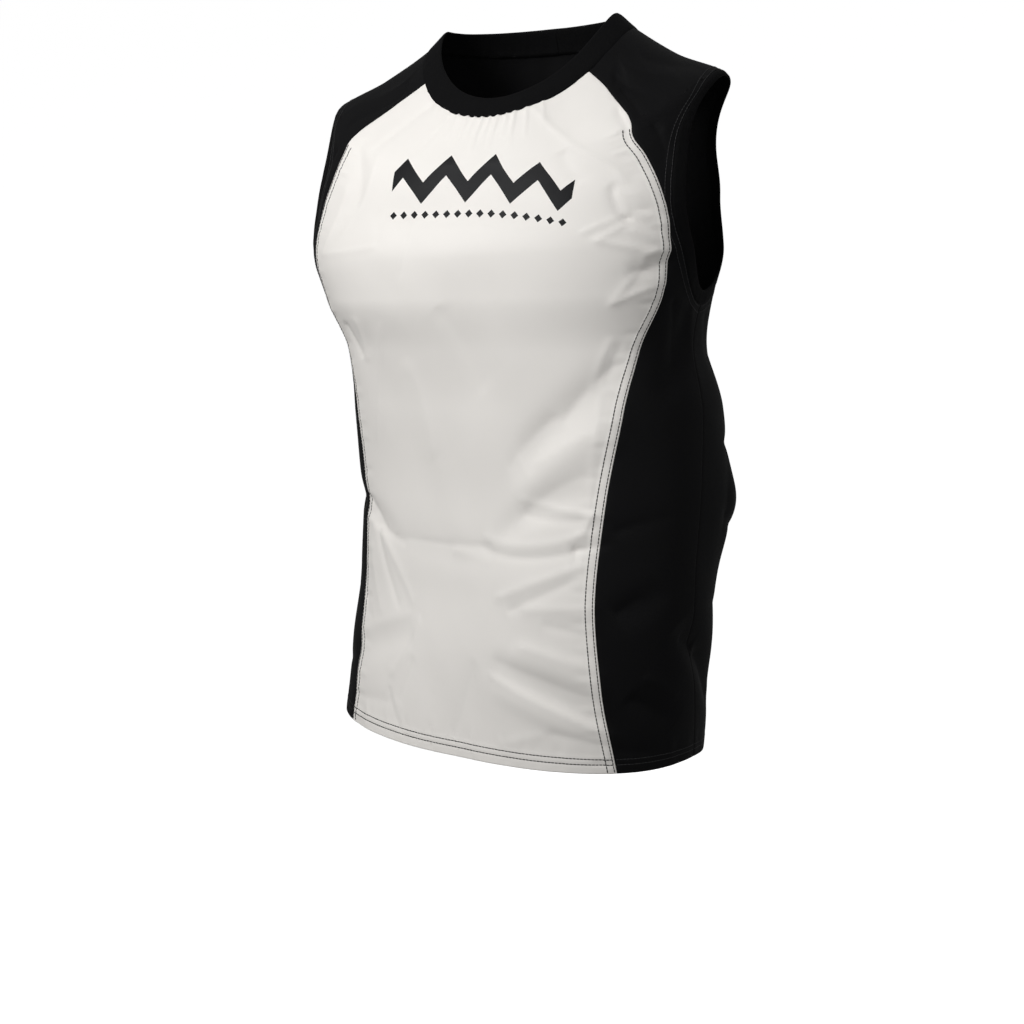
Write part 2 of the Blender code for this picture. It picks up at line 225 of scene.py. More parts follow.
# %% The finer creases of the white front
Crease = namedtuple("Crease", "angle level to_angle to_level bow width to_width depth to_depth")
FRONT_CREASES = table(Crease, [
    # from the neck and the kink of the left seam down across the chest
    (23, -16, 57, -126, 12, 4, 4, 0.9, 0.8),
    (58, -42, 58, -88, -3, 5, 4, -2.4, -0.8),
    (62, -40, 53, -60, 2, 4, 4, 1.4, 0.4),
    (53, -120, 58, -170, -4, 4, 4, -1.8, -1.6),
    (56, -160, 72, -200, -1, 4, 4, -1.5, -1.2),
    (57, -130, 70, -182, 2, 6, 6, 1, 1.1),
    (57, -153, 70, -172, 0, 4, 4, -0.9, -0.9),
    (45, -177, 55, -162, 1, 3.5, 3.5, 0.8, 0.6),
    (49, -188, 57, -172, 0, 3.5, 3.5, 0.8, 0.6),
    (48, -185, 66, -208, 0, 3.5, 4, 0.9, 1.1),
    (57, -176, 71, -208, 0, 4, 4, 0.9, 1.1),
    # the pocket under the left armpit
    (76, -214, 59, -224, -2, 6, 5, -2.3, -1.2),
    (74, -231, 54, -254, -3, 6, 5, 1.7, 0.6),
    (63, -212, 55, -252, 0, 3.5, 4, 1, 0.5),
    (72, -206, 61, -209, -2, 3.5, 3.5, 1.2, 0.9),
    (57, -280, 51, -326, -1, 4, 4, 0.7, 0.5),
    (60, -284, 56, -318, -1, 4, 4, -0.5, -0.4),
    (61, -300, 43, -352, -5, 8, 9, -1.3, -1),
    (42, -345, 24, -394, -4, 9, 10, -1, -0.5),
    (66, -344, 34, -392, -3, 9, 10, 0.8, 0.5),
    (66, -378, 30, -436, -4, 9, 9, -0.9, -0.7),
    (54, -326, 56, -424, -1, 3.5, 3.5, 0.5, 0.6),
    # across the waist
    (30, -417, 64, -430, -2, 4, 4, 0.6, 1.1),
    (32, -430, 56, -433, -3, 5, 4, -0.8, -0.8),
    (66, -452, 51, -460, -1, 4, 4, -2, -1.6),
    (53, -448, 54, -474, -2, 3.5, 4, -1.4, -0.7),
    (57, -426, 52, -456, 1, 5, 5, 1.5, 1.2),
    (12, -461, 56, -457, -9, 4, 4, -0.8, -0.9),
    (14, -452, 54, -447, -9, 7, 7, 0.9, 1.1),
    (-40, -462, 20, -460, -2, 4, 4, -0.4, -0.7),
    (-4, -468, 20, -476, 2, 6, 7, 0.6, 0.4),
    (-76, -412, -46, -461, 6, 4.5, 4, -1.8, -1.6),
    (-54, -452, -32, -468, -1, 4, 4, -1.4, -0.6),
    (-72, -440, -52, -462, 4, 5, 5, 1, 0.8),
    (-50, -458, -25, -524, 2, 5, 6, 1.2, 0.5),
    (-51, -462, -33, -530, -2, 4, 4, -1.1, -0.6),
    (-63, -458, -49, -552, -8, 5, 5, -0.8, -0.5),
    (-56, -470, -43, -540, -4, 5, 6, 0.6, 0.4),
    # below the waist
    (22, -506, 56, -470, -1, 6, 6, 0.9, 1.1),
    (28, -515, 54, -482, -1, 6, 6, -1, -1),
    (34, -511, 64, -503, -1, 7, 6, 0.8, 1),
    (42, -522, 64, -532, 1, 6, 6, -0.8, -1),
    (32, -541, 64, -562, 2, 7, 7, 0.9, 1.1),
    (20, -556, 64, -588, 2, 8, 8, -0.9, -1.1),
    (18, -569, 66, -618, 1, 5.5, 5.5, 1.2, 1.5),
    (40, -614, 62, -624, 1, 6, 6, -0.8, -1),
    (20, -631, 39, -616, 0, 6, 6, 0.6, 0.5),
    (-62, -562, -26, -530, 0, 9, 9, 0.8, 0.6),
    (-21, -530, -37, -592, 6, 8, 8, 0.9, 0.7),
    (-60, -622, -34, -613, 0, 8, 8, -1, -0.7),
    (-37, -600, -29, -640, -2, 4, 4, -0.7, -0.6),
    (-23, -568, -32, -614, 2, 7, 7, -0.7, -0.5),
    # from the right shoulder and armpit
    (-39, -14, -51, -60, -5, 8, 8, -1.3, -0.9),
    (-25, -18, -31, -52, 0, 4, 4, -0.7, -0.5),
    (-58, -50, -48, -136, 8, 7, 6, -1.4, -0.9),
    (-47, -56, -52, -172, 9, 5, 5, 1, 0.7),
    (-55, -100, -60, -194, 5, 4, 4, 1, 0.8),
    (-62, -192, -33, -178, -1, 4, 4, 0.6, 0.4),
    (-38, -130, -33, -184, 0, 3.5, 3.5, -0.5, -0.4),
    (-22, -128, -24, -222, 4, 4, 4, -0.5, -0.4),
    (-57, -264, -52, -300, -1, 5, 5, -1.6, -0.9),
    (-48, -258, -50, -304, 0, 5, 5, 0.8, 0.5),
    (-72, -310, -65, -340, -4, 4, 4, -1.2, -0.7),
    (-36, -264, -51, -382, -6, 5, 5, 0.6, 0.4),
    # faint ones over the open cloth
    (-8, -250, 10, -330, 4, 14, 16, -0.8, -0.6),
    (-30, -300, -18, -390, 4, 14, 15, 0.7, 0.5),
    (38, -58, 44, -112, -3, 8, 9, -0.8, -0.6),
    (12, -560, -4, -636, 3, 10, 11, -0.7, -0.6),
])

# %% Creases of the black stretch pieces, in angles all the way round
BLACK_CREASES = table(Crease, [
    # left shoulder and side
    (61, -26, 68, -56, 2, 5, 7, -2, -0.8),
    (66, -24, 78, -48, -2, 6, 8, 1.5, 0.5),
    (62, -34, 61, -58, 1, 4, 5, -1.5, -1.3),
    (63, -60, 66, -118, 2, 4, 6, -1.3, -0.8),
    (66, -70, 69, -132, -1, 5, 5, 1, 0.6),
    (74, -28, 84, -52, 0, 6, 7, -0.9, -0.4),
    (74, -244, 80, -318, 3, 6, 9, -2, -0.4),
    (84, -250, 92, -330, 2, 7, 10, 1.6, 0.3),
    (96, -254, 104, -318, 2, 6, 9, -1.7, -0.3),
    (64, -511, 72, -494, 0, 5, 6, -1.9, -0.6),
    (84, -530, 92, -544, 1, 5, 6, -1.8, -2),
    (92, -544, 105, -600, 4, 6, 8, -2.2, -1),
    (65, -578, 78, -603, 2, 6, 7, -2, -0.7),
    (70, -560, 82, -582, 2, 6, 7, 1.4, 0.5),
    (62, -444, 80, -430, 2, 6, 9, -1.7, -0.4),
    (60, -624, 76, -634, 0, 6, 7, -1.2, -0.4),
    # right shoulder and side
    (-62, -26, -70, -54, -2, 5, 7, -1.8, -0.6),
    (-68, -24, -80, -50, 2, 6, 8, 1.4, 0.5),
    (-66, -66, -69, -124, -1, 4, 6, -1.2, -0.6),
    (-76, -248, -82, -322, -3, 6, 9, -1.9, -0.4),
    (-88, -252, -96, -330, -2, 7, 10, 1.5, 0.3),
    (-64, -440, -84, -426, -2, 6, 9, -1.6, -0.5),
    (-70, -512, -82, -556, -3, 6, 8, -1.8, -0.6),
    (-62, -586, -78, -610, -2, 6, 7, -1.5, -0.5),
    # the back
    (104, -372, 150, -398, 4, 9, 12, -3, -1),
    (102, -430, 140, -470, -5, 8, 11, -3.2, -0.8),
    (126, -452, 196, -474, -4, 9, 12, -2.4, -0.9),
    (258, -432, 214, -462, 5, 8, 12, -2.6, -0.8),
    (252, -388, 214, -396, -4, 9, 12, -1.8, -0.6),
    (150, -500, 214, -508, 3, 9, 9, 1.6, 1.2),
    (116, -214, 132, -282, 4, 8, 12, -2.2, -0.6),
    (110, -246, 140, -302, 5, 8, 12, 1.6, 0.4),
    (246, -214, 230, -286, -4, 8, 12, -2, -0.6),
    (250, -250, 224, -306, -5, 9, 12, 1.5, 0.4),
    (148, -60, 158, -150, 3, 14, 18, -1.6, -0.8),
    (212, -60, 202, -144, -3, 14, 18, -1.5, -0.7),
    (122, -68, 130, -112, 2, 9, 11, -1.4, -0.5),
    (238, -68, 230, -108, -2, 9, 11, -1.3, -0.5),
    (120, -520, 128, -632, 4, 9, 9, -2.2, -1.2),
    (158, -540, 152, -640, -3, 10, 10, 1.8, 1),
    (186, -536, 180, -642, 3, 11, 10, -2, -1.2),
    (240, -520, 236, -630, -3, 9, 9, -2, -1),
    (176, -330, 184, -404, 3, 12, 14, -1.4, -0.8),
])


# %% [markdown]
# A fold's height falls off like a bell curve with the distance from its line, measured on the
# unrolled surface. Where two folds cross, their heights simply add, as they do in real cloth.

# %% Heights of folds and creases
def wrapped_near(angle, middle):
    return angle - 360 * np.round((angle - middle) / 360)


def distance_from_line(angle, level, line):
    near_angle = wrapped_near(angle, (line.angle + line.to_angle) / 2)
    across = np.radians(near_angle - line.angle) * UNROLLED_RADIUS
    up = level - line.level
    run = math.radians(line.to_angle - line.angle) * UNROLLED_RADIUS
    rise = line.to_level - line.level
    length = math.hypot(run, rise)
    along = np.clip((across * run + up * rise) / length ** 2, 0, 1)
    arch = 4 * along * (1 - along)
    off_across = across - along * run + line.bow * arch * rise / length
    off_up = up - along * rise - line.bow * arch * run / length
    return along, arch, np.hypot(off_across, off_up)


def long_fold_height(angle, level):
    height = 0
    for fold in LONG_FOLDS:
        _, arch, distance = distance_from_line(angle, level, fold)
        taper = np.hypot(np.sqrt(arch), FOLD_END_SHARE)
        height += fold.depth * taper * np.exp(-(distance / fold.width) ** 2)
    return height


CREST = 0.35
CREST_FALL = 1.7
TIP_WIDTH = 0.5
CREASE_END = 2.6
CRISP_ENDS = 0.7
SOFT_ENDS = 1.6


def crease_height(angle, level, creases, end_power):
    """Creases are crisper than folds: steep near the line, and pointed at both ends."""
    height = 0
    for crease in creases:
        along, arch, distance = distance_from_line(angle, level, crease)
        ends = np.clip(arch * CREASE_END, 0, 1) ** end_power
        width = crease.width + (crease.to_width - crease.width) * along
        width = width * (TIP_WIDTH + (1 - TIP_WIDTH) * ends)
        depth = crease.depth + (crease.to_depth - crease.depth) * along
        fall = np.exp((CREST - np.hypot(distance / width, CREST)) * CREST_FALL)
        height += depth * ends * fall
    return height


# %% Slow unevenness, as cloth is never quite even between its folds
# Each swell goes round in whole waves, so that the back meets the sides at the same height.
Swell = namedtuple("Swell", "waves up start height")
SWELLS = table(Swell, [
    (6, 0.013, 0.3, 0.45),
    (-4, 0.034, 1.9, 0.40),
    (9, -0.021, 4.1, 0.28),
    (3, 0.071, 2.6, 0.22),
    (-13, -0.047, 5.2, 0.15),
    (18, 0.083, 0.9, 0.10),
])


def unevenness(angle, level):
    bearing = np.radians(angle)
    return sum(swell.height * np.sin(swell.waves * bearing + swell.up * level + swell.start)
               for swell in SWELLS)


# %% Little gathers where the white front is eased into the neck binding
GATHER_TOP = NECK_SEAM_LEVEL + 9
GATHER_SPREAD = 1.5
GATHER_END_DEPTH = 0.2
NECK_GATHERS = [
    Crease(angle, GATHER_TOP, to_angle, to_level, 0, width, width * GATHER_SPREAD, depth,
           GATHER_END_DEPTH)
    for angle, to_angle, to_level, width, depth in [
        (-27, -29, -33, 2.4, 0.6),
        (-19, -21, -38, 2.2, 0.8),
        (-13, -13, -46, 2.4, 1.1),
        (-8, -9, -36, 1.8, 0.9),
        (-4, -4, -50, 2.4, 1.2),
        (1, 0, -40, 2.0, 1.0),
        (5, 5, -48, 2.4, 1.2),
        (10, 11, -38, 1.9, 0.9),
        (14, 16, -47, 2.3, 1.1),
        (20, 23, -42, 2.2, 0.8),
        (28, 31, -34, 2.4, 0.6),
    ]
]


# %% Cloth with everything on it
SEAM_BLEND_DEGREES = 2.4
WHITE_CREASE_DEPTH = 1.25
GATHER_DEPTH = 1.5


def seam_share(angle, level):
    """How far a piece takes on its neighbour's creases: half way at the seam, soon not at all."""
    right, left = front_seams_at(level)
    near_angle = wrapped_near(angle, 0)
    distance = np.minimum(np.abs(near_angle - right), np.abs(near_angle - left))
    return 0.5 * np.exp(-(distance / SEAM_BLEND_DEGREES) ** 2)


def cloth_height(angle, level, on_white):
    white = WHITE_CREASE_DEPTH * crease_height(angle, level, FRONT_CREASES, CRISP_ENDS)
    white = white + GATHER_DEPTH * crease_height(angle, level, NECK_GATHERS, CRISP_ENDS)
    black = crease_height(angle, level, BLACK_CREASES, SOFT_ENDS)
    own, other = (white, black) if on_white else (black, white)
    share = seam_share(angle, level)
    height = own * (1 - share) + other * share
    return height + long_fold_height(angle, level) + unevenness(angle, level)


def place_on_cloth(angle, level, height):
    return smooth_surface(angle, level) + surface_normal(angle, level) * height[..., None]


# %% [markdown]
# Step 3: one helper lays a flat grid on the surface. The grid is Blender's own primitive. Its
# points are moved to where the pattern says, its UV map is set to real metres along the cloth,
# so that the weave has its true size everywhere, and Solidify gives it the cloth's thickness.

# %% Lay a grid of cloth
def select_only(thing):
    bpy.ops.object.select_all(action="DESELECT")
    thing.select_set(True)
    bpy.context.view_layer.objects.active = thing


def add_object(name, data):
    thing = bpy.data.objects.new(name, data)
    bpy.context.scene.collection.objects.link(thing)
    return thing


def read_all(items, label, width, kind=float):
    """One attribute of every vertex, face or corner, a row for each."""
    values = np.empty(len(items) * width, dtype=kind)
    items.foreach_get(label, values)
    return values.reshape(-1, width)


def lay_grid(name, points, uv):
    """A grid whose point in row r and column c goes to points[r, c], in millimetres."""
    rows, columns = points.shape[0] - 1, points.shape[1] - 1
    bpy.ops.mesh.primitive_grid_add(x_subdivisions=columns, y_subdivisions=rows, size=2)
    sheet = bpy.context.object
    mesh = sheet.data
    sheet.name = mesh.name = name
    flat = read_all(mesh.vertices, "co", 3)
    column = np.round((flat[:, 0] + 1) / 2 * columns).astype(int)
    row = np.round((flat[:, 1] + 1) / 2 * rows).astype(int)
    mesh.vertices.foreach_set("co", (points[row, column] * MM).ravel())
    corner = read_all(mesh.loops, "vertex_index", 1, np.int32)[:, 0]
    mesh.uv_layers[0].data.foreach_set("uv", (uv[row, column][corner] * MM).ravel())
    mesh.update()
    return sheet


LINING_SHIFT = 1.0


def move_lining_uv(mesh):
    """Give the side that faces the wearer its own place on the UV map, so no print shows there."""
    centres = read_all(mesh.polygons, "center", 3)
    normals = read_all(mesh.polygons, "normal", 3)
    corners = read_all(mesh.polygons, "loop_total", 1, np.int32)[:, 0]
    facing = (centres * normals)[:, :2].sum(axis=1)
    spread = read_all(mesh.uv_layers[0].data, "uv", 2)
    spread[np.repeat(facing < 0, corners), 0] += LINING_SHIFT
    mesh.uv_layers[0].data.foreach_set("uv", spread.ravel())


def thicken(sheet, thickness):
    """Thickness is added half to either side."""
    modifier = sheet.modifiers.new("cloth", "SOLIDIFY")
    modifier.thickness = thickness * MM
    modifier.offset = 0
    modifier.use_even_offset = True
    select_only(sheet)
    bpy.ops.object.modifier_apply(modifier=modifier.name)
    move_lining_uv(sheet.data)
    sheet.data.shade_smooth()
    print(sheet.name + ":", len(sheet.data.polygons), "faces")


def running_length(points, axis):
    step = np.linalg.norm(np.diff(points, axis=axis), axis=-1)
    start = np.zeros_like(np.take(step, [0], axis=axis))
    return np.concatenate([start, np.cumsum(step, axis=axis)], axis=axis)


# %% [markdown]
# Step 4: the armhole. Its line is an egg: part of an ellipse with a rounder top, further back
# than forward. The seam of the binding is at inset 0 and the finished edge at the full width.

# %% The armhole's line
ARMHOLE_BAND_WIDTH = 11.0
ARMHOLE_FRONT_REACH = 21.5
ARMHOLE_BACK_REACH = 26.0
ARMHOLE_EGG = -0.06
ARMHOLE_SQUARE_BOTTOM = 1.75
ARMHOLE_SQUARE_TOP = 3.4
DEGREES_PER_MM_AT_ARMHOLE = 0.31
LEVELS_PER_MM_ON_SHOULDER = 0.45


def signed_power(value, power):
    return np.sign(value) * np.abs(value) ** power


def armhole_line(turns, inset):
    theta = 2 * np.pi * np.asarray(turns, dtype=float)
    bottom = UNDERARM_LEVEL - ARMHOLE_BAND_WIDTH + inset
    top = SHOULDER_TIP_LEVEL + (ARMHOLE_BAND_WIDTH - inset) * LEVELS_PER_MM_ON_SHOULDER
    middle, half_height = (bottom + top) / 2, (top - bottom) / 2
    in_front = np.sin(theta) > 0
    reach = np.where(in_front, ARMHOLE_FRONT_REACH, ARMHOLE_BACK_REACH)
    reach = reach - inset * DEGREES_PER_MM_AT_ARMHOLE
    square = np.where(np.cos(theta) > 0, ARMHOLE_SQUARE_BOTTOM, ARMHOLE_SQUARE_TOP)
    across = signed_power(np.sin(theta), 2 / square) * (1 + ARMHOLE_EGG * np.cos(theta))
    up = signed_power(np.cos(theta), 2 / square)
    return SIDE_SEAM - reach * across, middle - half_height * up


# %% [markdown]
# Step 5: the rows and columns of a panel. Rows lie close together at the hem, where the cloth is
# turned up, and columns lie close together by the seams, where a raised strip and the stitching
# need fine faces. In the open cloth between, a face is about three millimetres long.

# %% Rows and columns
SEAM_GAP = 0.3
HEM_DEPTH = 15.0
HEM_FOLD_RADIUS = 0.62
HEM_STEPS = [0.9, 2.0, 3.4, 5.0, 6.6, 7.8, 9.0, 10.4, 11.8, 13.0, 14.2, 15.6, 17.6]
SEAM_STEPS = [0.0, 0.35, 0.9, 1.6, 2.4, 3.6, 5.0, 6.4, 7.4, 8.2, 9.0, 10.2, 12.0, 14.5]
FACE = 2.65
SHOULDER_FACE = 1.25
BACK_FACE = 3.6
ARMHOLE_ROWS = 84
ROW_SAMPLES = 61
NARROW_ROW = 2.6 * SEAM_STEPS[-1]


def panel_rows():
    """Level of each row, and the panel edge beside the armhole, front and back."""
    turns = np.linspace(0, 0.5, ARMHOLE_ROWS + 1)
    front_edge, beside = armhole_line(turns, -SEAM_GAP)
    back_edge = armhole_line(1 - turns, -SEAM_GAP)[0]
    start = HEM_LEVEL + HEM_STEPS[-1]
    count = round((beside[0] - start) / FACE)
    below = np.linspace(start, beside[0], count + 1)[:-1]
    below = np.concatenate([HEM_LEVEL + np.array(HEM_STEPS[:-1]), below])
    count = round((NECK_SEAM_LEVEL - beside[-1]) / SHOULDER_FACE)
    above = np.linspace(beside[-1], NECK_SEAM_LEVEL, count + 1)[1:]
    edges = [np.pad(edge, (len(below), len(above)), constant_values=SIDE_SEAM)
             for edge in (front_edge, back_edge)]
    return np.concatenate([below, beside, above]), *edges


def column_shares(width, face):
    """Shares from 0 to 1 across a row of this width, close together by both edges."""
    scale = np.minimum(1.0, width / NARROW_ROW)
    edge = np.array(SEAM_STEPS)[None, :] * scale[:, None]
    inner = width[:, None] - edge[:, -1:] * 2
    count = max(2, round(float(inner.max()) / face))
    middle = edge[:, -1:] + inner * np.linspace(0, 1, count + 1)[None, 1:-1]
    distance = np.concatenate([edge, middle, width[:, None] - edge[:, ::-1]], axis=1)
    return distance / width[:, None]


def row_widths(start, end, level):
    share = np.linspace(0, 1, ROW_SAMPLES)
    angle = start[:, None] + (end - start)[:, None] * share
    points = smooth_surface(angle, level[:, None])
    return np.linalg.norm(np.diff(points, axis=1), axis=2).sum(axis=1)


# %% [markdown]
# Step 6: relief along the edges. The seam allowances lie under the white cloth, so a strip of it
# beside each seam stands a little proud between its two lines of stitches, and puckers where the
# thread pulls. At the very edge each panel rolls inwards, which draws the seam as a fine groove.

# %% Seam and hem relief, all in millimetres from the edge
KINK_LEVEL = -58.0
KINK_SOFTNESS = 3.0
SEAM_STRIP_WIDTH = 8.0
STRIP_EDGE = 8.6
STRIP_SOFTNESS = 0.45
STRIP_RISE = 0.4
OUTER_STITCH = 1.8
HEM_STITCHES = (8.0, 13.0)
HEM_RISE = 0.45
HEM_SOFTNESS = 0.5
EDGE_ROLL = 0.55
EDGE_ROLL_REACH = 0.8
STITCH_DIP = 0.28
MM_PER_DEGREE = 2.6

Bell = namedtuple("Bell", "height centre width")
SEAM_DIPS = table(Bell, [(-STITCH_DIP, OUTER_STITCH, 0.8), (-STITCH_DIP, SEAM_STRIP_WIDTH, 0.9)])
SEAM_WAVES = table(Bell, [(0.32, 5.0, 3.2), (0.5, 11.5, 5.0)])
HEM_DIPS = [Bell(-STITCH_DIP, stitch, 0.9) for stitch in HEM_STITCHES]
HEM_WAVES = table(Bell, [(0.35, 5.0, 4.5), (0.45, 19.0, 7.0)])
Wave = namedtuple("Wave", "rate start height")
PUCKERS = table(Wave, [(0.47, 0.4, 0.40), (0.31, 2.2, 0.34), (0.73, 4.0, 0.26)])
HEM_PUCKER_RATE = 0.8
HEM_PUCKER_START = 40
SEAM_PUCKER_SHIFT = 7


def bells(distance, shapes):
    return sum(bell.height * np.exp(-((distance - bell.centre) / bell.width) ** 2)
               for bell in shapes)


def ripple(along, waves):
    return sum(wave.height * np.sin(wave.rate * along + wave.start) for wave in waves)


def soft_step(distance, edge, softness):
    """1 well inside an edge and 0 well past it."""
    return 0.5 - 0.5 * np.tanh((distance - edge) / (2 * softness))


def edge_roll(distance):
    return -EDGE_ROLL * np.exp(-np.clip(distance, 0, None) / EDGE_ROLL_REACH)


def stitched_strip(distance, along):
    """Height beside a twin-stitched seam, at a distance from it and a length along it."""
    rise = STRIP_RISE * soft_step(distance, STRIP_EDGE, STRIP_SOFTNESS)
    return rise + bells(distance, SEAM_DIPS) + ripple(along, PUCKERS) * bells(distance, SEAM_WAVES)


def hem_relief(distance, along):
    rise = HEM_RISE * soft_step(distance, HEM_DEPTH, HEM_SOFTNESS)
    puckers = ripple(along * HEM_PUCKER_RATE + HEM_PUCKER_START, PUCKERS)
    return rise + bells(distance, HEM_DIPS) + puckers * bells(distance, HEM_WAVES)


# %% Turn the hem up
HEM_INSIDE = (HEM_DEPTH, 12.0, 9.0, 6.0, 3.5, 1.8)
HEM_BEND_DEGREES = (165, 135, 105, 75, 45, 15)


def hem_profile():
    """Level and lift of each row of the turned-up hem: up the inside, then round the fold."""
    bend = np.radians(HEM_BEND_DEGREES)
    up = np.concatenate([HEM_INSIDE, HEM_FOLD_RADIUS * (1 - np.sin(bend))])
    lift = np.concatenate([np.full(len(HEM_INSIDE), -2 * HEM_FOLD_RADIUS),
                           HEM_FOLD_RADIUS * (np.cos(bend) - 1)])
    return HEM_LEVEL + up[:, None], lift[:, None]


def panel_sheet(name, on_white, start, end, level, face=FACE):
    """A panel between two edges. Only the white one has the strips of twin-stitched seams."""
    width = row_widths(start, end, level)
    share = column_shares(width, face)
    angle = start[:, None] + (end - start)[:, None] * share
    rows = np.broadcast_to(level[:, None], angle.shape)
    from_start = share * width[:, None]
    from_end = (1 - share) * width[:, None]
    along = rows - HEM_LEVEL
    height = cloth_height(angle, rows, on_white) + edge_roll(from_start) + edge_roll(from_end)
    if on_white:
        strips = stitched_strip(from_start, along + SEAM_PUCKER_SHIFT)
        strips = strips + stitched_strip(from_end, along)
        height = height + strips * soft_step(rows, KINK_LEVEL, KINK_SOFTNESS)
    height = height + hem_relief(along, angle * MM_PER_DEGREE)
    height = height + edge_roll(NECK_SEAM_LEVEL - rows)
    hem_level, hem_lift = hem_profile()
    hem_angle = np.repeat(angle[:1], len(hem_level), axis=0)
    nearest = np.interp(hem_level[:, 0], level, np.arange(len(level)))
    low = np.floor(nearest).astype(int)
    part = (nearest - low)[:, None]
    hem_base = height[low] * (1 - part) + height[low + 1] * part
    all_angle = np.concatenate([hem_angle, angle])
    all_level = np.concatenate([np.broadcast_to(hem_level, hem_angle.shape), rows])
    all_height = np.concatenate([hem_base + hem_lift, height])
    points = place_on_cloth(all_angle, all_level, all_height)
    across = running_length(points, 1)
    across = across - across[:, [across.shape[1] // 2]]
    uv = np.stack([across, running_length(points, 0)], axis=-1)
    return lay_grid(name, points, uv)


# %% [markdown]
# Step 7: cut the four panels. The front lies between its two seams, the two front sides run from
# the neck past the armholes to the hem, and the back closes the tube. Light windproof weave is
# thinner than the stretch cloth beside it.

# %% The white front
WINDPROOF_THICKNESS = 0.7
STRETCH_THICKNESS = 0.9
level, front_edge, back_edge = panel_rows()
right_seam, left_seam = front_seams_at(level)
front = panel_sheet("white_front", True, right_seam, left_seam, level)
thicken(front, WINDPROOF_THICKNESS)

# %% The two front sides and the back
side_left = panel_sheet("black_side_left", False, left_seam, front_edge, level)
side_right = panel_sheet("black_side_right", False, -front_edge, right_seam, level)
back = panel_sheet("black_back", False, back_edge, 360 - back_edge, level, BACK_FACE)
for piece in (side_left, side_right, back):
    thicken(piece, STRETCH_THICKNESS)

# %% [markdown]
# Step 8: the bindings. A binding is a strip folded in half over the raw edge of the cloth, so its
# section is a hairpin: up the outside, round the finished edge and down the inside. It could be a
# swept curve, but a grid laid on that section keeps a real fold and real UVs. The grid's two ends
# meet at the back of the ring and are welded there.

# %% The section of a binding: share of the width, and lift in millimetres
BINDING_THICKNESS = 0.8
WELD = 0.00001
NECK_SEGMENTS = 280
ARMHOLE_SEGMENTS = 240
SECTION = [
    (-0.08, -0.50), (-0.01, 0.05), (0.06, 0.42), (0.15, 0.56), (0.30, 0.62), (0.50, 0.64),
    (0.70, 0.63), (0.86, 0.60), (0.94, 0.52), (0.985, 0.30), (1.00, 0.00), (0.985, -0.30),
    (0.94, -0.50), (0.80, -0.58), (0.55, -0.60), (0.30, -0.60), (0.06, -0.62), (-0.08, -0.90),
]


def lay_binding(name, segments, place):
    """place(turn, share across, lift) gives the points of a strip that closes on itself."""
    turn = np.linspace(0, 1, segments + 1)[None, :]
    section = np.array(SECTION)
    points = place(turn, section[:, :1], section[:, 1:])
    uv = np.stack([running_length(points, 1), running_length(points, 0)], axis=-1)
    binding = lay_grid(name, points, uv)
    select_only(binding)
    bpy.ops.object.mode_set(mode="EDIT")
    bpy.ops.mesh.select_all(action="SELECT")
    bpy.ops.mesh.remove_doubles(threshold=WELD)
    bpy.ops.object.mode_set(mode="OBJECT")
    thicken(binding, BINDING_THICKNESS)
    return binding


# %% The neck binding, which wavers a little as it was sewn on
NECK_WAVER = table(Wave, [(0.47, 0, 0.14), (1.13, 1, 0.10)])
NECK_LIFT = 1.15
NECK_UNEVENNESS = 0.5


def neck_place(turn, share, lift):
    angle = turn * 360 - 180
    at = NECK_SEAM_LEVEL + share * (NECK_EDGE_LEVEL - NECK_SEAM_LEVEL)
    height = unevenness(angle, at) * NECK_UNEVENNESS
    height = height + long_fold_height(angle, at) + lift * NECK_LIFT
    height = height + ripple(angle, NECK_WAVER) * (1 - share)
    return place_on_cloth(angle, at, height)


neck = lay_binding("neck_binding", NECK_SEGMENTS, neck_place)


# %% The armhole bindings
ARMHOLE_WAVER = table(Wave, [(170, 0, 0.12), (290, 2, 0.10)])


def armhole_place(mirror, turn, share, lift):
    onward = 1 - turn if mirror > 0 else turn
    angle, at = armhole_line(onward, share * ARMHOLE_BAND_WIDTH)
    angle = angle * mirror
    height = cloth_height(angle, at, False) + lift
    height = height + ripple(onward, ARMHOLE_WAVER) * (1 - share)
    return place_on_cloth(angle, at, height)


armhole_bindings = [
    lay_binding("armhole_binding_left", ARMHOLE_SEGMENTS, partial(armhole_place, 1)),
    lay_binding("armhole_binding_right", ARMHOLE_SEGMENTS, partial(armhole_place, -1))]

# %% [markdown]
# Step 9: the stitches. The real seams are sewn with a twin needle, which leaves two even rows of
# short stitches. Painting them would do from afar, but thread that stands off the cloth catches
# the light. One stitch is modelled from a cube, and copies of it are set along each row.

# %% Model one stitch
STITCH_LENGTH = 2.45
STITCH_PITCH = 3.2
THREAD = 0.46
THREAD_SINK = 0.06
ROUNDNESS = 0.75
DIRECTION_REACH = 0.6
SEARCH = 6
bpy.ops.mesh.primitive_cube_add(size=1)
stitch = bpy.context.object
bpy.ops.object.mode_set(mode="EDIT")
bpy.ops.mesh.select_all(action="SELECT")
bpy.ops.mesh.subdivide(number_cuts=1)
bpy.ops.transform.tosphere(value=ROUNDNESS)
bpy.ops.object.mode_set(mode="OBJECT")
STITCH_POINTS = np.array([vert.co[:] for vert in stitch.data.vertices])
STITCH_FACES = np.array([face.vertices[:] for face in stitch.data.polygons])
bpy.data.objects.remove(stitch)
print("one stitch:", len(STITCH_FACES), "faces")


